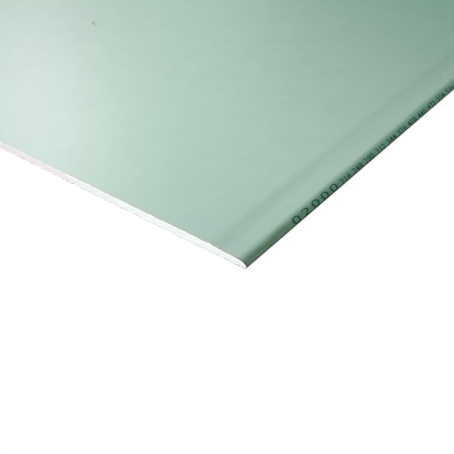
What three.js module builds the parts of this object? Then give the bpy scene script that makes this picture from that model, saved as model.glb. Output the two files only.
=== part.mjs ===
// A moisture-resistant gypsum board lying face up: a cast gypsum core between two papers.
// The face paper wraps both long edges and folds on to the back. The back paper laps over its flaps.
// Millimetres. X runs along the board, Y across it, and Z up from the plane that it rests on.
import * as THREE from 'three';

// The whole board.
const boardLength = 2000;
const boardWidth = 1250;
const boardThickness = 12.5;

// The two papers.
const facePaperThickness = 0.4;
const backPaperThickness = 0.4;
const flapShowing = 12; // the strip of the folded flap that the back paper leaves bare
const lapWidth = 23; // the rest of the flap, under the back paper

// The long edges, from the outside in: a half-round nose, a level lip and a ramp up to the face.
const noseReach = 16; // how far in the rounding starts
const heelRadius = 3.6; // the fold at the foot of the nose
const lipWidth = 16;
const rampWidth = 30;
const taperDepth = 1.2; // how far the lip lies below the face

// Facets of the curved stretches.
const heelFacets = 8;
const noseFacets = 28;
const rampFacets = 14;

// Sizes that follow from those.
const flapReach = flapShowing + lapWidth;
const heelLevel = backPaperThickness + heelRadius; // where the board is widest
const lipLevel = boardThickness - taperDepth;
const noseHeight = lipLevel - heelLevel;
const rampStart = noseReach + lipWidth;
const rampThird = rampWidth / 3; // handles a third along make an even S

// One long edge's section, at a depth under the outside of the face paper: from the flap's inner end
// out to the heel, round the nose, over the lip and up the ramp. x is the distance in from the edge.
function edgeSection(depth) {
  const heelArc = new THREE.EllipseCurve(
    heelRadius, heelLevel, heelRadius - depth, heelRadius - depth, -Math.PI / 2, -Math.PI, true,
  );
  const noseArc = new THREE.EllipseCurve(
    noseReach, heelLevel, noseReach - depth, noseHeight - depth, Math.PI, Math.PI / 2, true,
  );
  const ramp = new THREE.CubicBezierCurve(
    new THREE.Vector2(rampStart, lipLevel - depth),
    new THREE.Vector2(rampStart + rampThird, lipLevel - depth),
    new THREE.Vector2(rampStart + rampWidth - rampThird, boardThickness - depth),
    new THREE.Vector2(rampStart + rampWidth, boardThickness - depth),
  );
  return [
    new THREE.Vector2(flapReach, backPaperThickness + depth),
    ...heelArc.getPoints(heelFacets),
    ...noseArc.getPoints(noseFacets).slice(1), // it starts where the heel ends
    ...ramp.getPoints(rampFacets),
  ];
}

// The line that a depth makes round the whole board, from one flap's end over the face to the other's.
function wrapLine(depth) {
  const rightEdge = edgeSection(depth).map(
    (point) => new THREE.Vector2(point.x - boardWidth / 2, point.y),
  );
  const leftEdge = rightEdge.map((point) => new THREE.Vector2(-point.x, point.y)).reverse();
  return [...rightEdge, ...leftEdge];
}

// A section drawn across the board becomes a solid as long as the board.
const acrossUpAlong = new THREE.Matrix4().makeBasis(
  new THREE.Vector3(0, 1, 0),
  new THREE.Vector3(0, 0, 1),
  new THREE.Vector3(1, 0, 0),
);

function alongBoard(name, outline, material) {
  const geometry = new THREE.ExtrudeGeometry(new THREE.Shape(outline), {
    depth: boardLength,
    steps: 1,
    bevelEnabled: false,
  });
  geometry.applyMatrix4(acrossUpAlong);
  const mesh = new THREE.Mesh(geometry, material);
  mesh.name = name;
  mesh.position.x = -boardLength / 2;
  return mesh;
}

// The core fills the wrap, and steps down between the flaps to meet the back paper.
function gypsumCore() {
  const flapEnd = boardWidth / 2 - flapReach;
  const outline = [
    ...wrapLine(facePaperThickness),
    new THREE.Vector2(flapEnd, backPaperThickness),
    new THREE.Vector2(-flapEnd, backPaperThickness),
  ];
  const material = new THREE.MeshStandardMaterial({ color: 0xebe9e3, roughness: 0.95, metalness: 0 });
  return alongBoard('gypsum_core', outline, material);
}

// The face paper is one sheet of even thickness that goes all the way round.
function facePaper() {
  const outline = [...wrapLine(0), ...wrapLine(facePaperThickness).reverse()];
  const material = new THREE.MeshStandardMaterial({ color: 0x86ab9b, roughness: 0.6, metalness: 0 });
  return alongBoard('face_paper', outline, material);
}

// The back paper lies flat over the core and both flaps.
function backPaper() {
  const halfWidth = boardWidth / 2 - flapShowing;
  const outline = [
    new THREE.Vector2(-halfWidth, 0),
    new THREE.Vector2(halfWidth, 0),
    new THREE.Vector2(halfWidth, backPaperThickness),
    new THREE.Vector2(-halfWidth, backPaperThickness),
  ];
  const material = new THREE.MeshStandardMaterial({ color: 0xa59c8c, roughness: 0.85, metalness: 0 });
  return alongBoard('back_paper', outline, material);
}

const board = new THREE.Group();
board.add(gypsumCore(), facePaper(), backPaper());

export default board;
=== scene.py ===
import math
import random

import bmesh
import bpy
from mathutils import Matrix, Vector, kdtree, noise


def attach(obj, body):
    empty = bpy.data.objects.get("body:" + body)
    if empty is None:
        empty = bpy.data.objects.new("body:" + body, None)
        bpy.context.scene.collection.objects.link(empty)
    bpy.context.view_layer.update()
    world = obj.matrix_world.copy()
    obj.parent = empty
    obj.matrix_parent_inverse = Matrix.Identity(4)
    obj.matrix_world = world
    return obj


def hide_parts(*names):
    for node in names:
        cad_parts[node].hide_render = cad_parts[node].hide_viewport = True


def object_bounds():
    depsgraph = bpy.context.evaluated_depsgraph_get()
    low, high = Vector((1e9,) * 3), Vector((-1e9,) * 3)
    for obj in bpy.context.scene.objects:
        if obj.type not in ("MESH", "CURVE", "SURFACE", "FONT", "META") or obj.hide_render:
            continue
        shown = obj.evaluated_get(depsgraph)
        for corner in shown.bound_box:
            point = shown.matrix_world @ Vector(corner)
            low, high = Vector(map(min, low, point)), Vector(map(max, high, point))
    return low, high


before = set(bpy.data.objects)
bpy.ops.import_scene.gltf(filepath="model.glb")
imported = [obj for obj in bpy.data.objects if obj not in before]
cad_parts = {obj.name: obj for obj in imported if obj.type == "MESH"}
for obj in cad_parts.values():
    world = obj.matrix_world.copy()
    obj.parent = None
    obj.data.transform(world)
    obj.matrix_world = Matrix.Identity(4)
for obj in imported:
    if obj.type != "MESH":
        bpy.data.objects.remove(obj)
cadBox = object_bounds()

mm = 0.001  # Blender works in metres, and the sizes below are in millimetres
low, high = cadBox
boardLength = (high.x - low.x) / mm
boardWidth = (high.y - low.y) / mm
boardThickness = (high.z - low.z) / mm
nearCorner = Vector((low.x, low.y, low.z))  # where a long edge meets a sawn end


# small helpers

def linearColour(hexText):
    values = [int(hexText[i:i + 2], 16) / 255 for i in (1, 3, 5)]
    return [v / 12.92 if v <= 0.04045 else ((v + 0.055) / 1.055) ** 2.4 for v in values] + [1.0]


def addNode(tree, kind, inputs=None, **settings):
    node = tree.nodes.new("ShaderNode" + kind)
    for name, value in settings.items():
        setattr(node, name, value)
    for name, value in (inputs or {}).items():
        if isinstance(value, bpy.types.NodeSocket):
            tree.links.new(value, node.inputs[name])
        else:
            node.inputs[name].default_value = value
    return node


def newMaterial(name):
    material = bpy.data.materials.new(name)
    material.use_nodes = True
    material.node_tree.nodes.clear()
    return material


def newPiece(name, bm, materials, smoothAngle=35):
    mesh = bpy.data.meshes.new(name)
    bm.to_mesh(mesh)
    bm.free()
    for material in materials:
        mesh.materials.append(material)
    mesh.polygons.foreach_set("use_smooth", [True] * len(mesh.polygons))
    mesh.set_sharp_from_angle(angle=math.radians(smoothAngle))
    piece = bpy.data.objects.new(name, mesh)
    bpy.context.scene.collection.objects.link(piece)
    print(f"{name}: {len(mesh.vertices)} points, {len(mesh.polygons)} faces")
    return piece


def copyOfNode(nodeName):
    bm = bmesh.new()
    bm.from_mesh(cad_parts[nodeName].data)
    bmesh.ops.remove_doubles(bm, verts=bm.verts, dist=0.001 * mm)
    bm.normal_update()
    return bm


def mergeFlatFaces(bm):
    bmesh.ops.dissolve_limit(bm, angle_limit=math.radians(0.05), verts=bm.verts, edges=bm.edges)


def everythingOf(faces):
    edges = {edge for face in faces for edge in face.edges}
    verts = {vert for face in faces for vert in face.verts}
    return list(faces) + list(edges) + list(verts)


def cutAt(bm, faces, axis, places):
    geom = everythingOf(faces)
    for place in places:
        cut = bmesh.ops.bisect_plane(
            bm, geom=geom, plane_co=axis * (place * mm), plane_no=axis, dist=0.0005 * mm)
        geom = cut["geom"]


def evenPlaces(start, stop, step):
    count = max(1, round((stop - start) / step))
    return [start + (stop - start) * i / count for i in range(1, count)]


def placesFromEnds(first, growth, largest):  # close together at both ends, even in the middle
    places, at, step = [], first, first
    while at < boardLength / 2:
        places.append(at)
        step = min(step * growth, largest)
        at += step
    return [p - boardLength / 2 for p in places] + [boardLength / 2 - p for p in places]


along, across, upwards = Vector((1, 0, 0)), Vector((0, 1, 0)), Vector((0, 0, 1))


# how the board lies: a stock sheet is never quite flat or straight

lie = {
    "swellHeight": 0.16, "swellLength": 210,  # long shallow waves in the face
    "rippleHeight": 0.035, "rippleLength": 46,
    "edgeWander": 0.22, "edgeWanderLength": 320,  # the long edges' wander
    "edgeWanderPower": 6,  # how fast it dies away towards the middle
    "creaseDepth": 0.12, "creaseWidth": 2.4,  # a fine crease where the taper leaves the flat face
    "creaseAt": 57, "creaseWander": 2.5, "creaseWanderLength": 260,  # in from the long edge
    "creaseStart": 150, "creaseFull": 330,  # along from the near end, where it fades in
    "creaseSeed": 50, "edgeSeed": 700, "rippleSeed": 900,
}


def crease(x, y):
    wander = noise.noise(Vector((x / lie["creaseWanderLength"], math.copysign(lie["creaseSeed"], y), 0)))
    away = boardWidth / 2 - abs(y) - lie["creaseAt"] - lie["creaseWander"] * wander
    fade = (x + boardLength / 2 - lie["creaseStart"]) / (lie["creaseFull"] - lie["creaseStart"])
    return lie["creaseDepth"] * math.exp(-(away / lie["creaseWidth"]) ** 2) * max(0.0, min(1.0, fade))


def settle(bm):
    for vert in bm.verts:
        x, y, z = vert.co / mm
        swell = noise.noise(Vector((x, y, 0)) / lie["swellLength"]) * lie["swellHeight"]
        ripple = noise.noise(Vector((x, y, lie["rippleSeed"])) / lie["rippleLength"]) * lie["rippleHeight"]
        raised = max(0.0, min(1.0, z / boardThickness))  # the back stays flat on the floor
        wander = noise.noise(Vector((x, math.copysign(lie["edgeSeed"], y), 0)) / lie["edgeWanderLength"])
        edgeShare = (abs(y) / (boardWidth / 2)) ** lie["edgeWanderPower"]
        sideways = edgeShare * lie["edgeWander"] * wander
        vert.co.z += (swell + ripple - crease(x, y)) * raised * mm
        vert.co.y += sideways * mm


# the papers

liner = {
    "thickness": 0.4,
    "columnStep": 20,  # between the face's lengthwise cuts
    "firstRow": 1.6, "rowGrowth": 1.55, "largestRow": 25,
    "rimStep": 2.5,  # between the points of a cut end
    "rimDepth": 4.2,  # how far in those fine points reach
    "fray": 0.32, "frayLength": 7, "fineFray": 0.16, "fineFrayLength": 2.6,
    "burr": 0.22, "burrLength": 30,  # the saw lifts the paper's lip
    "noseReach": 16,  # how far in the rounded edge goes
    "flatFrom": 60,  # in from the widest point, where the lengthwise cuts start
    "rimSpill": 30,  # how far the fine cuts go on past them
    "faceSeed": 5, "backSeed": 23, "endSeed": 40,  # the last one tells the two ends apart
    "faceTears": [  # nicks in the cut lips at the near end: across from its corner, and their size
        {"at": 57, "width": 7.5, "depth": 1.25, "lift": 0.0},
        {"at": 96, "width": 4, "depth": 0.6, "lift": 0.1},
        {"at": 152, "width": 9, "depth": 0.5, "lift": 0.2},
        {"at": 262, "width": 5, "depth": 0.9, "lift": 0.15},
        {"at": 301, "width": 6, "depth": 1.0, "lift": 0.3},
        {"at": 388, "width": 11, "depth": 0.7, "lift": 0.1},
        {"at": 540, "width": 8, "depth": 1.1, "lift": 0.2},
    ],
    "backTears": [
        {"at": 17, "width": 24, "depth": 0.7, "lift": 0.0},
        {"at": 50, "width": 15, "depth": 0.7, "lift": 0.0},
        {"at": 176, "width": 8, "depth": 0.6, "lift": 0.0},
        {"at": 291, "width": 6, "depth": 1.0, "lift": 0.0},
    ],
}


def isRim(vert, reach=0.1):
    return abs(vert.co.x) > (boardLength / 2 - reach) * mm


def roughenRims(bm, tears, seed, nodeIsFace):
    for vert in bm.verts:
        if not isRim(vert):
            continue
        y, end = vert.co.y / mm, math.copysign(1, vert.co.x)
        at = Vector((y, vert.co.z / mm, seed + liner["endSeed"] * end))
        inwards = liner["fray"] * (0.5 + 0.5 * noise.noise(at / liner["frayLength"]))
        inwards += liner["fineFray"] * (0.5 + 0.5 * noise.noise(at / liner["fineFrayLength"]))
        lift = liner["burr"] * max(0.0, noise.noise(at / liner["burrLength"]))
        isNoseFoot = nodeIsFace and vert.co.z < low.z + boardThickness / 2 * mm
        for tear in tears:
            away = abs(y + boardWidth / 2 - tear["at"]) / (tear["width"] / 2)
            if end < 0 and away < 1 and not isNoseFoot:
                inwards += tear["depth"] * (1 - away * away)
                lift += tear["lift"] * (1 - away)
        vert.co.x -= end * inwards * mm
        if vert.co.z > low.z + boardThickness / 2 * mm:
            vert.co.z += lift * mm


def linerSheet(nodeName, isOutside, tears, seed):
    bm = copyOfNode(nodeName)
    hidden = [face for face in bm.faces if not isOutside(face)]
    bmesh.ops.delete(bm, geom=hidden, context="FACES")
    mergeFlatFaces(bm)
    halfFlat = max(abs(vert.co.y) for vert in bm.verts) / mm - liner["flatFrom"]
    rows = placesFromEnds(liner["firstRow"], liner["rowGrowth"], liner["largestRow"])
    cutAt(bm, bm.faces[:], along, rows)
    cutAt(bm, bm.faces[:], across, evenPlaces(-halfFlat, halfFlat, liner["columnStep"]))
    fineFrom = (boardLength / 2 - liner["rimDepth"]) * mm
    rimFaces = [face for face in bm.faces if abs(face.calc_center_median().x) > fineFrom]
    halfRim = halfFlat + liner["rimSpill"]
    cutAt(bm, rimFaces, across, evenPlaces(-halfRim, halfRim, liner["rimStep"]))
    settle(bm)
    roughenRims(bm, tears, seed, nodeName == "face_paper")
    bm.normal_update()
    outside = set(bm.faces)
    bmesh.ops.solidify(bm, geom=bm.faces[:], thickness=liner["thickness"] * mm)
    for face in bm.faces:
        face.material_index = 0 if face in outside else 1
    return bm


def facesOutOfWrap(face):  # away from the board's middle plane, or from the axis of a nose
    centre, axisReach = face.calc_center_median(), (boardWidth / 2 - liner["noseReach"]) * mm
    axisY = max(-axisReach, min(axisReach, centre.y))
    outwards = Vector((0, centre.y - axisY, centre.z - boardThickness / 2 * mm))
    return abs(face.normal.x) < 0.5 and face.normal.dot(outwards) > 0


def facesDown(face):
    return face.normal.z < -0.5


# the core

core = {
    "endGrid": 1.0,  # between the points of a sawn end
    "bandDepth": 6,  # a loop this far in keeps the fine points near the end
    "recess": 0.28,  # the gypsum stands back from the papers' lips
    "sawDepth": 0.07, "sawPitch": 2.4, "sawMarkLength": 30,
    "grainDepth": 0.06, "grainSize": 1.7,
    "crumbleDepth": 0.25, "crumbleLength": 9, "crumbleFrom": 11.6,  # from this height up
    "pits": 420, "smallestPit": 0.7, "largestPit": 1.9, "pitDepth": 0.5,
    "pitMargin": 1, "shallowest": 0.3,  # from the papers, and a share of the depth
    "nearSeed": 11, "farSeed": 37,
    "stepAt": 300, "stepDepth": 0.55, "stepRamp": 1.5, "stepGrain": 3,  # where two saw passes met
    "chips": [  # broken-out gypsum on the near end: across, up, radius and depth
        {"at": 292, "up": 1.0, "radius": 2.4, "depth": 1.6},
        {"at": 57, "up": 11.6, "radius": 3.0, "depth": 0.7},
        {"at": 44, "up": 0.9, "radius": 2.2, "depth": 0.8},
        {"at": 30, "up": 0.9, "radius": 2.6, "depth": 0.9},
        {"at": 12, "up": 1.4, "radius": 2.0, "depth": 0.7},
        {"at": 176, "up": 0.9, "radius": 2.4, "depth": 0.8},
        {"at": 441, "up": 11.4, "radius": 2.8, "depth": 0.9},
    ],
}


def dent(verts, tree, place, radius, depth, end):
    for _, index, distance in tree.find_range(place * mm, radius * mm):
        share = 1 - (distance / (radius * mm)) ** 2
        verts[index].co.x -= end * depth * share * mm


def sawEnd(bm, end, seed):
    plane = end * boardLength / 2
    flush = 0.01 * mm  # what is closer to the plane than this lies on it
    caps = [f for f in bm.faces if abs(f.calc_center_median().x - plane * mm) < flush]
    half = boardWidth / 2
    cutAt(bm, caps, across, evenPlaces(-half, half, core["endGrid"]))
    caps = [f for f in bm.faces if abs(f.calc_center_median().x - plane * mm) < flush]
    cutAt(bm, caps, upwards, evenPlaces(0, boardThickness, core["endGrid"]))
    verts = [vert for vert in bm.verts if abs(vert.co.x - plane * mm) < flush]
    tree = kdtree.KDTree(len(verts))
    for index, vert in enumerate(verts):
        tree.insert(vert.co, index)
    tree.balance()
    for vert in verts:
        y, z = vert.co.y / mm, vert.co.z / mm
        at = Vector((y, z, seed))
        depth = core["recess"]
        sawMark = Vector((y / core["sawPitch"], z / core["sawMarkLength"], seed))
        depth += core["sawDepth"] * noise.noise(sawMark)
        depth += core["grainDepth"] * noise.noise(at / core["grainSize"])
        if any(not face.normal.x for face in vert.link_faces) or z > core["crumbleFrom"]:
            depth += core["crumbleDepth"] * abs(noise.noise(at / core["crumbleLength"]))
        if end < 0:
            past = (y + half - core["stepAt"]) / core["stepRamp"] + noise.noise(at / core["stepGrain"])
            depth += core["stepDepth"] * max(0.0, min(1.0, past))
        vert.co.x -= end * depth * mm
    dice = random.Random(seed)
    for _ in range(core["pits"]):
        sideways = dice.uniform(-half, half)
        up = dice.uniform(core["pitMargin"], boardThickness - core["pitMargin"])
        radius = dice.uniform(core["smallestPit"], core["largestPit"])
        depth = core["pitDepth"] * dice.uniform(core["shallowest"], 1)
        dent(verts, tree, Vector((plane, sideways, up)), radius, depth, end)
    if end < 0:
        for chip in core["chips"]:
            place = Vector((plane, chip["at"] - half, chip["up"]))
            dent(verts, tree, place, chip["radius"], chip["depth"], end)


def coreBlock():
    bm = copyOfNode("gypsum_core")
    mergeFlatFaces(bm)
    band = boardLength / 2 - core["bandDepth"]
    cutAt(bm, bm.faces[:], along, [-band, band])
    sawEnd(bm, -1, core["nearSeed"])
    sawEnd(bm, 1, core["farSeed"])
    settle(bm)
    return bm


# plain numbers, printed along the rounded long edge

numbers = {
    "foot": Vector((0, -1.85, 6.97)),  # where their plane starts, out from the long edge and up
    "tilt": 32,  # of that plane, from level
    "capitals": 0.7,  # the digits' height as a share of the font's size
    "slice": 0.4,  # between the cuts that let the digits bend round the nose
    "lowest": -0.3, "highest": 16,  # on the plane: what is under the former would miss the nose
    "inkThickness": 0.1,  # half of it stands above the paper
    "axis": Vector((0, 16, 4)),  # what the ink's depth points to: in from the long edge, and up
    "large": {  # the board's length
        "text": "02000", "at": 101, "height": 10.2, "stretch": 2.45,
        "weight": 0.04, "spacing": 1.25, "drop": 0.2,
    },
    "row": {  # each one tells how far it is from the near end
        "first": 216, "last": 1966, "pitch": 32, "height": 8.6, "stretch": 1.25,
        "weight": 0.16, "spacing": 1.12, "drop": 0.3,
    },
}


def addNumber(bm, text, x, look):
    curve = bpy.data.curves.new("number", "FONT")
    curve.body = text
    curve.size = look["height"] / numbers["capitals"]
    curve.offset = look["weight"]
    curve.space_character = look["spacing"]
    curve.resolution_u = 3
    holder = bpy.data.objects.new("number", curve)
    made = bmesh.new()
    made.from_mesh(holder.to_mesh())
    holder.to_mesh_clear()
    bpy.data.objects.remove(holder)
    bmesh.ops.scale(made, vec=(look["stretch"], 1, 1), verts=made.verts)
    bmesh.ops.translate(made, vec=(x, -look["drop"], 0), verts=made.verts)
    mesh = bpy.data.meshes.new("number")
    made.to_mesh(mesh)
    made.free()
    bm.from_mesh(mesh)
    bpy.data.meshes.remove(mesh)


def flatNumbers():
    bm = bmesh.new()
    large, row = numbers["large"], numbers["row"]
    addNumber(bm, large["text"], large["at"], large)
    for place in range(row["first"], row["last"], row["pitch"]):
        addNumber(bm, str(place), place, row)
    bmesh.ops.remove_doubles(bm, verts=bm.verts, dist=0.001)
    geom = bm.verts[:] + bm.edges[:] + bm.faces[:]
    bmesh.ops.bisect_plane(
        bm, geom=geom, plane_co=(0, numbers["lowest"], 0), plane_no=(0, 1, 0), dist=0.001, clear_inner=True)
    for height in evenPlaces(numbers["lowest"], numbers["highest"], numbers["slice"]):
        geom = bm.verts[:] + bm.edges[:] + bm.faces[:]
        bmesh.ops.bisect_plane(bm, geom=geom, plane_co=(0, height, 0), plane_no=(0, 1, 0), dist=0.001)
    bmesh.ops.scale(bm, vec=(mm, mm, mm), verts=bm.verts)
    return bm


def printedNumbers(surface, materials):
    flat = newPiece("flat_numbers", flatNumbers(), materials)
    flat.rotation_euler.x = math.radians(numbers["tilt"])
    flat.location = nearCorner + numbers["foot"] * mm
    wrap = flat.modifiers.new("wrap", "SHRINKWRAP")
    wrap.target = surface
    wrap.wrap_method = "PROJECT"
    wrap.wrap_mode = "ABOVE_SURFACE"
    wrap.use_project_z = True
    wrap.use_negative_direction = True
    wrap.use_positive_direction = False
    wrap.offset = numbers["inkThickness"] / 2 * mm
    graph = bpy.context.evaluated_depsgraph_get()
    wrapped = flat.evaluated_get(graph)
    bm = bmesh.new()
    bm.from_mesh(wrapped.to_mesh())
    bm.transform(wrapped.matrix_world)
    wrapped.to_mesh_clear()
    bpy.data.objects.remove(flat)
    bmesh.ops.dissolve_degenerate(bm, edges=bm.edges[:], dist=0.01 * mm)
    axis = nearCorner + numbers["axis"] * mm
    for part in bmesh.ops.extrude_face_region(bm, geom=bm.faces[:])["geom"]:
        if isinstance(part, bmesh.types.BMVert):
            inwards = Vector((0, axis.y - part.co.y, axis.z - part.co.z)).normalized()
            part.co += inwards * numbers["inkThickness"] * mm
    bmesh.ops.recalc_face_normals(bm, faces=bm.faces[:])
    return newPiece("edge_numbers", bm, materials)


# the green paper's finish, with its wear

greenLook = {
    "deep": "#5F8976", "light": "#67917E",  # the dye
    # the dark and pale marks' colours, also used for the painted shade along the fold and the painted sheen
    # on the lip
    "bruiseAndFoldShade": "#334D44", "scrapeAndLipSheen": "#A9B9B0",
    "cloudSize": 26, "cloudShare": 0.45,
    "fibreSize": 2.2, "fibreShare": 0.4, "fibreDepth": 0.08,  # far coarser than real ones, to show at all
    "fibreStretch": 4,  # along the board
    "sheenPaleArea": {  # painted sheen, less green where it is strongest: gone and full, over and along the diagonal
        "over": (90, 400), "along": (1700, 900), "tint": (1.15, 0.915, 1.03),
    },
    "shadedFarPaper": {"from": 600, "full": 900, "tint": (0.78, 0.955, 0.877)},  # painted shade: darker and greener, past these distances from the near end
    "bands": [  # painted sheen and shade, and a pale band on the nose: centre and reach in from the long edge, tone, and where they fade in
        {"at": 20, "reach": 18, "tone": 0.1, "from": 150, "full": 600},  # the lip, paler: painted sheen
        {"at": 53, "reach": 10, "tone": -0.11, "from": 20, "full": 130},  # the fold, where the taper starts: painted shade
        {"at": 11.5, "reach": 5, "tone": 0.11, "from": 300, "full": 60},  # paler, above the olive patch by the corner
    ],
    "bandWander": 4,  # how far the clouds push these in and out
    "oliveNoseCorner": {  # darker and more olive on the rounded edge by the near corner
        "at": 3.5, "reach": 7, "tone": 1.0, "from": 300, "full": 60, "tint": (0.78, 0.69, 0.574),
    },
    "paintedNoseHighlight": {  # painted highlight: a paler band all along the rounded edge, at this height
        "at": 6.6, "reach": 1.5, "tone": 1.0, "from": -1, "full": 0, "tint": (1.5, 1.62, 1.58),
    },
    "paintedFootShadow": {  # painted shadow along the foot of the nose, under that band, less of it by the corner
        "at": 3.7, "reach": 3.1, "tone": 1.0, "from": -300, "full": 150, "tint": (0.02, 0.1, 0.07),
    },
    "dustyCorner": {  # gypsum dust, gone and full: in from the sawn end and in from the long edge
        "along": (90, 10), "across": (230, 70), "tint": (1.06, 1.0, 1.07),
    },
    "greyedLip": {"reach": 12, "share": 0.28, "colour": "#857B78"},  # the last bit before a sawn end
    "darkLipRoundNose": {  # darker on the paper's last bit at a sawn end, where it goes round the nose
        "along": (2.6, 1.0), "across": (30, 10), "tint": (0.25, 0.33, 0.29),
    },
    "sheen": 0.5,  # the full one of this paper's IOR
}

scuffing = {
    "bruise": 0.3, "sheenLoss": 0.85,  # how far a dark mark's tone dyes the paper and dulls it
    "gone": 1.1, "full": 0.5,  # out from the middle, as shares of its half size
    "depth": 12, "raggedness": 5,  # the latter is the size of the bays in its outline
    "marks": [  # on the face: place from the near corner, length and width, turn, and tone
        {"at": (374, 624), "size": (26, 5), "turn": -110, "tone": -0.75},
        {"at": (378, 630), "size": (9, 7), "turn": -30, "tone": -0.6},
        {"at": (380, 617), "size": (9, 4), "turn": -15, "tone": -0.3},
        {"at": (357, 190), "size": (13, 3), "turn": -62, "tone": 0.2},
        {"at": (360, 187), "size": (9, 2), "turn": -62, "tone": -0.15},
        {"at": (298, 526), "size": (18, 5), "turn": -133, "tone": -0.15},
        {"at": (309, 514), "size": (12, 4), "turn": -72, "tone": -0.12},
        {"at": (142, 316), "size": (14, 3), "turn": -137, "tone": -0.16},
        {"at": (94, 253), "size": (9, 3), "turn": -61, "tone": 0.1},
        {"at": (225, 273), "size": (11, 4), "turn": -109, "tone": -0.14},
        {"at": (178, 120), "size": (18, 3), "turn": -142, "tone": -0.14},
        {"at": (47, 38), "size": (11, 7), "turn": 40, "tone": -0.13},
        {"at": (591, 33), "size": (12, 6), "turn": -113, "tone": 0.3},
        {"at": (594, 33), "size": (8, 2), "turn": -133, "tone": -0.5},
    ],
}


def scuffTone(tree, where):  # signed: pale above zero, dark below
    bays = addNode(tree, "TexNoise", {
        "Vector": where, "Scale": 1 / (scuffing["raggedness"] * mm), "Detail": 2})
    wobble = addNode(tree, "VectorMath", {
        0: bays.outputs["Color"], 1: (0.5, 0.5, 0.5)}, operation="SUBTRACT")
    total = None
    for mark in scuffing["marks"]:
        x, y = mark["at"]
        longWay, wideWay = mark["size"]
        spot = addNode(tree, "Mapping", {
            "Vector": where, "Location": nearCorner + Vector((x, y, boardThickness)) * mm,
            "Rotation": (0, 0, math.radians(mark["turn"])),
            "Scale": (longWay / 2 * mm, wideWay / 2 * mm, scuffing["depth"] / 2 * mm)},
            vector_type="TEXTURE")
        ragged = addNode(tree, "VectorMath", {0: spot.outputs[0], 1: wobble.outputs[0]}, operation="ADD")
        reach = addNode(tree, "VectorMath", {0: ragged.outputs[0]}, operation="LENGTH")
        mask = addNode(tree, "MapRange", {
            "Value": reach.outputs["Value"], "From Min": scuffing["gone"],
            "From Max": scuffing["full"], "To Max": mark["tone"]})
        if total is None:
            total = mask.outputs[0]
        else:
            total = addNode(tree, "Math", {0: total, 1: mask.outputs[0]}, operation="ADD").outputs[0]
    return total


def bandShare(tree, fromEdge, fromEnd, look):
    offset = addNode(tree, "Math", {0: fromEdge, 1: look["at"] * mm}, operation="SUBTRACT")
    away = addNode(tree, "Math", {0: offset.outputs[0]}, operation="ABSOLUTE")
    band = addNode(tree, "MapRange", {
        "Value": away.outputs[0], "From Min": look["reach"] * mm, "From Max": 0.0,
        "To Max": look["tone"]}, interpolation_type="SMOOTHSTEP")
    fade = addNode(tree, "MapRange", {
        "Value": fromEnd, "From Min": look["from"] * mm, "From Max": look["full"] * mm})
    return addNode(tree, "Math", {0: band.outputs[0], 1: fade.outputs[0]}, operation="MULTIPLY").outputs[0]


def areaShare(tree, *borders):  # each is a measure and the two places that it fades in between
    total = 1.0
    for measure, (gone, full) in borders:
        border = addNode(tree, "MapRange", {
            "Value": measure, "From Min": gone * mm, "From Max": full * mm},
            interpolation_type="SMOOTHSTEP")
        total = addNode(tree, "Math", {0: total, 1: border.outputs[0]}, operation="MULTIPLY").outputs[0]
    return total


def layTints(tree, colour, layers):  # the paper's own clouds and fibres go on showing through them
    for share, look in layers:
        tint = addNode(tree, "Mix", {
            0: share, 6: colour, 7: (*look["tint"], 1)}, data_type="RGBA", blend_type="MULTIPLY")
        colour = tint.outputs[2]
    return colour


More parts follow.
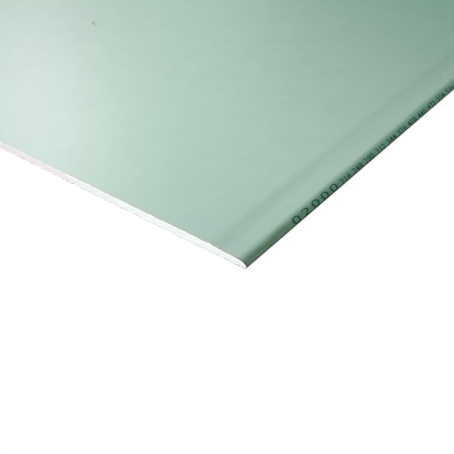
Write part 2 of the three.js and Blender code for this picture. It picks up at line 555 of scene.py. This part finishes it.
def greenLinerFinish():
    # calendered liner board, dyed green: an even, faintly cloudy sheet with a soft sheen
    look = greenLook
    material = newMaterial("calendered_green_liner")
    tree = material.node_tree
    where = addNode(tree, "TexCoord").outputs["Object"]
    clouds = addNode(tree, "TexNoise", {
        "Vector": where, "Scale": 1 / (look["cloudSize"] * mm), "Detail": 3})
    fibreSpace = addNode(tree, "Mapping", {"Vector": where, "Scale": (1 / look["fibreStretch"], 1, 1)})
    fibres = addNode(tree, "TexNoise", {
        "Vector": fibreSpace.outputs[0], "Scale": 1 / (look["fibreSize"] * mm), "Detail": 4,
        "Roughness": 0.6})
    cloudTone = addNode(tree, "MapRange", {
        "Value": clouds.outputs[0], "From Min": 0.3, "From Max": 0.7, "To Min": -0.5, "To Max": 0.5})
    fibreTone = addNode(tree, "MapRange", {
        "Value": fibres.outputs[0], "From Min": 0.3, "From Max": 0.7, "To Min": -0.5, "To Max": 0.5})
    both = addNode(tree, "Math", {
        0: cloudTone.outputs[0], 1: look["cloudShare"], 2: 0.5}, operation="MULTIPLY_ADD")
    tone = addNode(tree, "Math", {
        0: fibreTone.outputs[0], 1: look["fibreShare"], 2: both.outputs[0]}, operation="MULTIPLY_ADD")
    paper = addNode(tree, "Mix", {
        0: tone.outputs[0], 6: linearColour(look["deep"]),
        7: linearColour(look["light"])}, data_type="RGBA")
    # painted sheen: less green in one area of the face; painted shade: darker and greener away from the
    # near end
    place = addNode(tree, "SeparateXYZ", {0: where})
    fromNear = addNode(tree, "Math", {0: place.outputs[0], 1: boardLength / 2 * mm}, operation="ADD")
    fromSide = addNode(tree, "Math", {0: place.outputs[1], 1: boardWidth / 2 * mm}, operation="ADD")
    over = addNode(tree, "Math", {0: fromSide.outputs[0], 1: fromNear.outputs[0]}, operation="SUBTRACT")
    further = addNode(tree, "Math", {0: fromSide.outputs[0], 1: fromNear.outputs[0]}, operation="ADD")
    # painted sheen: the share of the less green area
    fade = areaShare(
        tree, (over.outputs[0], look["sheenPaleArea"]["over"]),
        (further.outputs[0], look["sheenPaleArea"]["along"]))
    # painted shade: darker and greener away from the near end
    fresh = areaShare(tree, (fromNear.outputs[0], (look["shadedFarPaper"]["from"], look["shadedFarPaper"]["full"])))
    sheet = layTints(tree, paper.outputs[2], [(fade, look["sheenPaleArea"]), (fresh, look["shadedFarPaper"])])
    # scuffs: the sheen is rubbed off, and the paper is bruised a little or scraped pale
    marks = scuffTone(tree, where)
    rubbedOff = addNode(tree, "Math", {
        0: marks, 1: -scuffing["sheenLoss"]}, operation="MULTIPLY", use_clamp=True)
    fainter = addNode(tree, "Math", {0: marks, 1: scuffing["bruise"]}, operation="MULTIPLY")
    signed = addNode(tree, "Math", {0: marks, 1: fainter.outputs[0]}, operation="MAXIMUM").outputs[0]
    # bands: painted sheen on the lip, painted shade along the taper's fold, and a paler band on the nose by
    # the corner
    fromMiddle = addNode(tree, "Math", {0: place.outputs[1]}, operation="ABSOLUTE")
    straight = addNode(tree, "Math", {
        0: boardWidth / 2 * mm, 1: fromMiddle.outputs[0]}, operation="SUBTRACT")
    fromEdge = addNode(tree, "Math", {
        0: cloudTone.outputs[0], 1: look["bandWander"] * mm, 2: straight.outputs[0]},
        operation="MULTIPLY_ADD")
    for band in look["bands"]:
        share = bandShare(tree, fromEdge.outputs[0], fromNear.outputs[0], band)
        signed = addNode(tree, "Math", {0: signed, 1: share}, operation="ADD").outputs[0]
    # dark share: bruises and the painted fold shade; pale share: scrapes, the painted lip sheen and the
    # pale nose band
    bruiseAndFoldShade = addNode(tree, "Math", {0: signed, 1: -1.0}, operation="MULTIPLY", use_clamp=True)
    scrapeAndLipSheen = addNode(tree, "Math", {0: signed, 1: 1.0}, operation="MULTIPLY", use_clamp=True)
    darker = addNode(tree, "Mix", {
        0: bruiseAndFoldShade.outputs[0], 6: sheet, 7: linearColour(look["bruiseAndFoldShade"])}, data_type="RGBA")
    wearWithSheenAndShade = addNode(tree, "Mix", {
        0: scrapeAndLipSheen.outputs[0], 6: darker.outputs[2], 7: linearColour(look["scrapeAndLipSheen"])}, data_type="RGBA")
    # dust and painted light: the darker, more olive nose by the corner, a painted highlight along the nose,
    # a painted shadow along its foot, and the dusty corner
    height = place.outputs[2]
    # darker and more olive on the nose by the near corner
    oliveCorner = bandShare(tree, fromEdge.outputs[0], fromNear.outputs[0], look["oliveNoseCorner"])
    # painted highlight: a paler band along the nose
    noseHighlight = bandShare(tree, height, fromNear.outputs[0], look["paintedNoseHighlight"])
    # painted shadow: a dark band along the foot of the nose
    footShadow = bandShare(tree, height, fromNear.outputs[0], look["paintedFootShadow"])
    dust = areaShare(
        tree, (fromNear.outputs[0], look["dustyCorner"]["along"]),
        (fromSide.outputs[0], look["dustyCorner"]["across"]))
    dustAndNoseShading = layTints(tree, wearWithSheenAndShade.outputs[2], [
        (oliveCorner, look["oliveNoseCorner"]), (noseHighlight, look["paintedNoseHighlight"]), (footShadow, look["paintedFootShadow"]),
        (dust, look["dustyCorner"])])
    # the sawn ends: greyer paper, and a darker lip round the nose
    lengthwise = addNode(tree, "Math", {0: place.outputs[0]}, operation="ABSOLUTE")
    nearEnd = addNode(tree, "MapRange", {
        "Value": lengthwise.outputs[0], "From Min": (boardLength / 2 - look["greyedLip"]["reach"]) * mm,
        "From Max": boardLength / 2 * mm, "To Max": look["greyedLip"]["share"]})
    greyed = addNode(tree, "Mix", {
        0: nearEnd.outputs[0], 6: dustAndNoseShading, 7: linearColour(look["greyedLip"]["colour"])}, data_type="RGBA")
    lipRoundNose = areaShare(
        tree, (lengthwise.outputs[0], [boardLength / 2 - reach for reach in look["darkLipRoundNose"]["along"]]),
        (fromMiddle.outputs[0], [boardWidth / 2 - reach for reach in look["darkLipRoundNose"]["across"]]))
    colour = layTints(tree, greyed.outputs[2], [(lipRoundNose, look["darkLipRoundNose"])])
    bump = addNode(tree, "Bump", {
        "Height": fibres.outputs[0], "Strength": 0.25, "Distance": look["fibreDepth"] * mm})
    # the painted shadow along the foot and the scuffs take the sheen away
    dull = addNode(tree, "Math", {0: footShadow, 1: rubbedOff.outputs[0]}, operation="MAXIMUM")
    sheen = addNode(tree, "MapRange", {"Value": dull.outputs[0], "To Min": look["sheen"], "To Max": 0.0})
    shader = addNode(tree, "BsdfPrincipled", {
        "Base Color": colour, "Roughness": 0.38, "IOR": 1.59,
        "Specular IOR Level": sheen.outputs[0], "Normal": bump.outputs[0]})
    addNode(tree, "OutputMaterial", {"Surface": shader.outputs[0]})
    return material


# the papers' sawn edges, the gypsum, the back paper and the ink

rimLook = {
    "green": {"pale": "#C6D0CA", "paler": "#E4E9E6", "dash": "#84938B", "nose": "#2A4238"},
    "grey": {"pale": "#D9D8D4", "paler": "#EFEEEB", "dash": "#B4B2AD", "nose": "#CDCCC8"},
    "noseFrom": 50, "noseFull": 8,  # in from the long edges, where the darker nose tone takes over
    "pulpSize": 1.2, "dashLength": 11,
    "bareFrom": 0.54, "bareFull": 0.6,  # what the noise has to pass for a bare dash
}


def cutRimFinish(name, tones):
    # a liner's sawn edge: pulp dusted with gypsum, with bare fibrous dashes
    material = newMaterial(name)
    tree = material.node_tree
    where = addNode(tree, "TexCoord").outputs["Object"]
    pulp = addNode(tree, "TexNoise", {
        "Vector": where, "Scale": 1 / (rimLook["pulpSize"] * mm), "Detail": 3})
    dusted = addNode(tree, "Mix", {
        0: pulp.outputs[0], 6: linearColour(tones["pale"]),
        7: linearColour(tones["paler"])}, data_type="RGBA")
    runs = addNode(tree, "TexNoise", {
        "Vector": where, "Scale": 1 / (rimLook["dashLength"] * mm), "Detail": 2})
    bare = addNode(tree, "MapRange", {
        "Value": runs.outputs[0], "From Min": rimLook["bareFrom"], "From Max": rimLook["bareFull"]})
    dashed = addNode(tree, "Mix", {
        0: bare.outputs[0], 6: dusted.outputs[2], 7: linearColour(tones["dash"])}, data_type="RGBA")
    place = addNode(tree, "SeparateXYZ", {0: where})
    sideways = addNode(tree, "Math", {0: place.outputs[1]}, operation="ABSOLUTE")
    nose = addNode(tree, "MapRange", {
        "Value": sideways.outputs[0], "From Min": (boardWidth / 2 - rimLook["noseFrom"]) * mm,
        "From Max": (boardWidth / 2 - rimLook["noseFull"]) * mm})
    # darker towards the noses
    colour = addNode(tree, "Mix", {
        0: nose.outputs[0], 6: dashed.outputs[2], 7: linearColour(tones["nose"])}, data_type="RGBA")
    shader = addNode(tree, "BsdfPrincipled", {"Base Color": colour.outputs[2], "Roughness": 0.85})
    addNode(tree, "OutputMaterial", {"Surface": shader.outputs[0]})
    return material


sawnLook = {
    "clean": "#E8EAE8", "cleanest": "#F1F3F1", "greyTowardsStep": "#D9DBD9", "dense": "#F5F7F5",
    "dull": "#E0DBDB", "dullPale": "#E9E5E5", "grimy": "#DAD9D9",
    "denseFrom": 9.2, "denseFull": 10.8,  # up from the floor, towards the face paper
    "greyingFrom": 170,  # across from the near corner, up to the saw's step
    "grimeFrom": 20, "grimeFull": 170,  # past that step
    "stepFrom": -1, "stepFull": 2,  # round that step
    "denseShare": 0.6, "greyTowardsStepShare": 0.5,
    "grainSize": 1.6, "grainDepth": 0.2,  # coarser than real crystals, to show at all
}


def gypsumFinish():
    # foamed gypsum plaster, sawn: chalk white and matt, denser and whiter against the face paper
    material = newMaterial("sawn_gypsum")
    tree = material.node_tree
    where = addNode(tree, "TexCoord").outputs["Object"]
    grain = addNode(tree, "TexNoise", {
        "Vector": where, "Scale": 1 / (sawnLook["grainSize"] * mm), "Detail": 4, "Roughness": 0.65})
    place = addNode(tree, "SeparateXYZ", {0: where})
    stepAt = core["stepAt"] - boardWidth / 2
    dense = addNode(tree, "MapRange", {
        "Value": place.outputs[2], "From Min": sawnLook["denseFrom"] * mm,
        "From Max": sawnLook["denseFull"] * mm}, interpolation_type="SMOOTHSTEP")
    fresh = addNode(tree, "Mix", {
        0: grain.outputs[0], 6: linearColour(sawnLook["clean"]),
        7: linearColour(sawnLook["cleanest"])}, data_type="RGBA")
    # greyer across the sawn end, towards the saw's step
    greying = addNode(tree, "MapRange", {
        "Value": place.outputs[1], "From Min": (sawnLook["greyingFrom"] - boardWidth / 2) * mm,
        "From Max": stepAt * mm, "To Max": sawnLook["greyTowardsStepShare"]})
    greyTowardsStep = addNode(tree, "Mix", {
        0: greying.outputs[0], 6: fresh.outputs[2], 7: linearColour(sawnLook["greyTowardsStep"])}, data_type="RGBA")
    # past the step between the two saw passes the cut is older and duller
    older = addNode(tree, "MapRange", {
        "Value": place.outputs[1],
        "From Min": (stepAt + sawnLook["stepFrom"]) * mm,
        "From Max": (stepAt + sawnLook["stepFull"]) * mm})
    dull = addNode(tree, "Mix", {
        0: grain.outputs[0], 6: linearColour(sawnLook["dull"]),
        7: linearColour(sawnLook["dullPale"])}, data_type="RGBA")
    oldest = addNode(tree, "MapRange", {
        "Value": place.outputs[1],
        "From Min": (stepAt + sawnLook["grimeFrom"]) * mm,
        "From Max": (stepAt + sawnLook["grimeFull"]) * mm})
    grimy = addNode(tree, "Mix", {
        0: oldest.outputs[0], 6: dull.outputs[2], 7: linearColour(sawnLook["grimy"])}, data_type="RGBA")
    foamed = addNode(tree, "Mix", {
        0: older.outputs[0], 6: greyTowardsStep.outputs[2], 7: grimy.outputs[2]}, data_type="RGBA")
    denseShare = addNode(tree, "Math", {
        0: dense.outputs[0], 1: sawnLook["denseShare"]}, operation="MULTIPLY")
    colour = addNode(tree, "Mix", {
        0: denseShare.outputs[0], 6: foamed.outputs[2],
        7: linearColour(sawnLook["dense"])}, data_type="RGBA")
    bump = addNode(tree, "Bump", {
        "Height": grain.outputs[0], "Strength": 0.3, "Distance": sawnLook["grainDepth"] * mm})
    shader = addNode(tree, "BsdfPrincipled", {
        "Base Color": colour.outputs[2], "Roughness": 0.95, "Normal": bump.outputs[0]})
    addNode(tree, "OutputMaterial", {"Surface": shader.outputs[0]})
    return material


greyPaper = {"dark": "#978C7B", "pale": "#B5AB9B", "cloudSize": 9, "cloudDepth": 0.1}


def backLinerFinish():
    # recycled grey-brown liner board: dull, flecked with dark and pale fibres
    material = newMaterial("recycled_grey_liner")
    tree = material.node_tree
    where = addNode(tree, "TexCoord").outputs["Object"]
    clouds = addNode(tree, "TexNoise", {
        "Vector": where, "Scale": 1 / (greyPaper["cloudSize"] * mm), "Detail": 4})
    colour = addNode(tree, "Mix", {
        0: clouds.outputs[0], 6: linearColour(greyPaper["dark"]),
        7: linearColour(greyPaper["pale"])}, data_type="RGBA")
    bump = addNode(tree, "Bump", {
        "Height": clouds.outputs[0], "Strength": 0.3, "Distance": greyPaper["cloudDepth"] * mm})
    shader = addNode(tree, "BsdfPrincipled", {
        "Base Color": colour.outputs[2], "Roughness": 0.85, "Normal": bump.outputs[0]})
    addNode(tree, "OutputMaterial", {"Surface": shader.outputs[0]})
    return material


inkTones = {"deep": "#10462F", "thin": "#1C573F", "patchSize": 1.5}


def inkFinish():
    # flexographic ink, soaked into the liner: dark green and a little uneven
    material = newMaterial("flexo_ink")
    tree = material.node_tree
    where = addNode(tree, "TexCoord").outputs["Object"]
    soaked = addNode(tree, "TexNoise", {
        "Vector": where, "Scale": 1 / (inkTones["patchSize"] * mm), "Detail": 3})
    colour = addNode(tree, "Mix", {
        0: soaked.outputs[0], 6: linearColour(inkTones["deep"]),
        7: linearColour(inkTones["thin"])}, data_type="RGBA")
    shader = addNode(tree, "BsdfPrincipled", {
        "Base Color": colour.outputs[2], "Roughness": 0.8, "Specular IOR Level": 0.15})
    addNode(tree, "OutputMaterial", {"Surface": shader.outputs[0]})
    return material


def floorFinish(studio):
    # matt white paper sweep: the camera sees it white, and it still takes the board's shadow
    material = newMaterial("studio_floor")
    tree = material.node_tree
    path = addNode(tree, "LightPath")
    mirrored = addNode(tree, "Math", {
        0: path.outputs["Is Camera Ray"], 1: path.outputs["Is Glossy Ray"]}, operation="MAXIMUM")
    seen = addNode(tree, "Math", {
        0: mirrored.outputs[0], 1: path.outputs["Is Transmission Ray"]}, operation="MAXIMUM")
    bounce = addNode(tree, "BsdfDiffuse", {"Color": [studio["floorBounce"]] * 3 + [1]})
    paper = addNode(tree, "BsdfDiffuse", {"Color": [studio["floorPaper"]] * 3 + [1]})
    where = addNode(tree, "TexCoord").outputs["Object"]
    distance = addNode(tree, "VectorMath", {0: where}, operation="LENGTH")
    strength = addNode(tree, "MapRange", {
        "Value": distance.outputs["Value"], "From Min": studio["glowNear"], "From Max": studio["glowFar"],
        "To Min": studio["floorGlow"], "To Max": 1.0})
    glow = addNode(tree, "Emission", {"Strength": strength.outputs[0]})
    white = addNode(tree, "AddShader", {0: paper.outputs[0], 1: glow.outputs[0]})
    mixed = addNode(tree, "MixShader", {0: seen.outputs[0], 1: bounce.outputs[0], 2: white.outputs[0]})
    addNode(tree, "OutputMaterial", {"Surface": mixed.outputs[0]})
    return material


# the studio

studio = {
    "floorSize": 30, "floorDrop": 0.2,  # metres, and millimetres under the back
    "floorBounce": 0.3, "floorPaper": 0.06, "floorGlow": 0.955,
    "glowNear": 1.5, "glowFar": 4,  # metres from the middle, where the floor turns plain white
    "room": 0.12,  # the even light from all round
    "aim": Vector((0.4, 0.35, 0)),  # metres in from the near corner, where the lamps point
}

softboxes = [  # headings are turned from the long edge, in degrees, and lengths are metres
    {"name": "key", "heading": 170, "height": 40, "distance": 4.5, "size": 1.4, "radiance": 35.0},
    {"name": "broad_sheen", "heading": 56, "height": 38, "distance": 7.0, "size": 2.8, "radiance": 6.0},
    {"name": "far_sheen", "heading": 56, "height": 32, "distance": 7.0, "size": 0.84, "radiance": 25.2},
    {"name": "middle_sheen", "heading": 32, "height": 38, "distance": 7.0, "size": 1.4, "radiance": 9.8},
    {"name": "low_fill", "heading": 40, "height": 26, "distance": 4.5, "size": 0.9, "radiance": 3.0},
    {"name": "side_fill", "heading": 16, "height": 38, "distance": 4.5, "size": 0.9, "radiance": 6.8},
    {"name": "nose_fill", "heading": -75, "height": 12, "distance": 7.0, "size": 3.0, "radiance": 1.3},
]

shot = {
    "lens": 65.19, "heading": 37.63, "pitch": 37.52, "fromCorner": Vector((-601.0, -434.1, 633.6)),
    "clipStart": 0.05, "clipEnd": 50,  # metres
}


def addSoftbox(lamp):
    data = bpy.data.lights.new(lamp["name"], "AREA")
    data.shape = "SQUARE"
    data.size = lamp["size"]
    data.energy = lamp["radiance"] * math.pi * lamp["size"] ** 2
    heading, height = math.radians(lamp["heading"]), math.radians(lamp["height"])
    outwards = Vector((
        math.cos(height) * math.cos(heading), math.cos(height) * math.sin(heading), math.sin(height)))
    piece = bpy.data.objects.new(lamp["name"], data)
    bpy.context.scene.collection.objects.link(piece)
    piece.location = nearCorner + studio["aim"] + outwards * lamp["distance"]
    piece.rotation_euler = outwards.to_track_quat("Z", "Y").to_euler()


def addRoom():
    world = bpy.data.worlds.new("studio_room")
    bpy.context.scene.world = world
    world.use_nodes = True
    tree = world.node_tree
    tree.nodes.clear()
    path = addNode(tree, "LightPath")
    even = addNode(tree, "Background", {"Strength": studio["room"]})
    white = addNode(tree, "Background", {"Strength": 1.0})
    for node in (even, white):
        node.inputs["Color"].default_value = (1, 1, 1, 1)
    mixed = addNode(tree, "MixShader", {
        0: path.outputs["Is Camera Ray"], 1: even.outputs[0], 2: white.outputs[0]})
    addNode(tree, "OutputWorld", {"Surface": mixed.outputs[0]})


def addFloor():
    bm = bmesh.new()
    bmesh.ops.create_grid(bm, x_segments=1, y_segments=1, size=studio["floorSize"] / 2)
    bmesh.ops.translate(bm, vec=(0, 0, low.z - studio["floorDrop"] * mm), verts=bm.verts)
    floor = newPiece("floor", bm, [floorFinish(studio)])


def addCamera():
    data = bpy.data.cameras.new("camera")
    data.lens = shot["lens"]
    data.clip_start, data.clip_end = shot["clipStart"], shot["clipEnd"]
    camera = bpy.data.objects.new("camera", data)
    bpy.context.scene.collection.objects.link(camera)
    camera.location = nearCorner + shot["fromCorner"] * mm
    camera.rotation_euler = (math.radians(90 - shot["pitch"]), 0, math.radians(shot["heading"] - 90))
    bpy.context.scene.camera = camera


# the board is put together

addCamera()
addRoom()
for lamp in softboxes:
    addSoftbox(lamp)
addFloor()
bpy.context.scene.view_settings.view_transform = "Standard"
print("studio ready")

greenPaper, ink = greenLinerFinish(), inkFinish()
greenPulp = cutRimFinish("cut_green_liner", rimLook["green"])
greyPulp = cutRimFinish("cut_grey_liner", rimLook["grey"])
print("finishes ready")

faceSheet = linerSheet("face_paper", facesOutOfWrap, liner["faceTears"], liner["faceSeed"])
faceLiner = newPiece("face_liner", faceSheet, [greenPaper, greenPulp])
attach(faceLiner, "root")
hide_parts("face_paper")

backSheet = linerSheet("back_paper", facesDown, liner["backTears"], liner["backSeed"])
backLiner = newPiece("back_liner", backSheet, [backLinerFinish(), greyPulp])
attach(backLiner, "root")
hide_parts("back_paper")

gypsum = newPiece("sawn_core", coreBlock(), [gypsumFinish()])
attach(gypsum, "root")
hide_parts("gypsum_core")

edgeNumbers = printedNumbers(faceLiner, [ink])
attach(edgeNumbers, "root")
